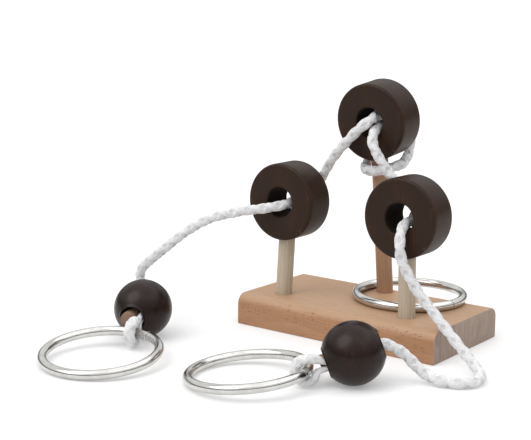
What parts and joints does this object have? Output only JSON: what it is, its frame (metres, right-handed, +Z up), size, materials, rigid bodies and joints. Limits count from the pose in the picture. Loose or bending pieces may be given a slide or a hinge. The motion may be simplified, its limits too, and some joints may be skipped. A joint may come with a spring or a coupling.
{
  "type": "ring and rope disentanglement puzzle",
  "caption": "Wooden desk puzzle: a rope with a bead and a steel ring at each end runs through the wheels of upright posts on a block, and another steel ring is trapped round the tall post.",
  "frame": {"origin": "middle of the block's underside, on the surface it stands on", "axes": "+X to the right along the block, -Y to the front where the rope's ends come out, +Z up"},
  "size_m": [0.1881, 0.1885, 0.1206],
  "materials": {
    "beech": "sanded and lightly oiled beech with fine dark pores",
    "beech_dowel": "sanded beech dowel",
    "pale_wood": "unfinished pale hardwood dowel",
    "dark_wood": "dark brown stained wood, satin",
    "bead_wood": "dark brown stained wood, polished satin",
    "peg_wood": "sawn dowel end, unfinished",
    "steel": "bright nickel plated steel wire, butt joined",
    "rope": "white braided synthetic rope"
  },
  "bodies": {
    "stand": {"base_block": "beech", "post_left": "pale_wood", "post_right": "pale_wood", "post_rear": "beech_dowel", "wheel_left": "dark_wood", "wheel_right": "dark_wood", "wheel_rear": "dark_wood", "bead_left": "bead_wood", "bead_right": "bead_wood", "peg_left": "peg_wood", "peg_right": "peg_wood", "rope": "rope", "end_loop_left": "rope", "end_loop_right": "rope"},
    "captive_ring": {"ring_captive": "steel"},
    "left_ring": {"ring_left": "steel"},
    "right_ring": {"ring_right": "steel"}
  },
  "joints": [
    {"name": "captive_ring_lift", "type": "slide", "parent": "stand", "child": "captive_ring", "axis": [0, 0, 1], "range_m": [0, 0.022]},
    {"name": "left_ring_swing", "type": "hinge", "parent": "stand", "child": "left_ring", "pos_m": [-0.06553, -0.09213, 0.00745], "axis": [-0.9885, -0.1513, 0], "range_deg": [0, 80]},
    {"name": "right_ring_swing", "type": "hinge", "parent": "stand", "child": "right_ring", "pos_m": [0.02894, -0.08885, 0.00745], "axis": [-0.3535, 0.9354, 0], "range_deg": [0, 80]}
  ]
}
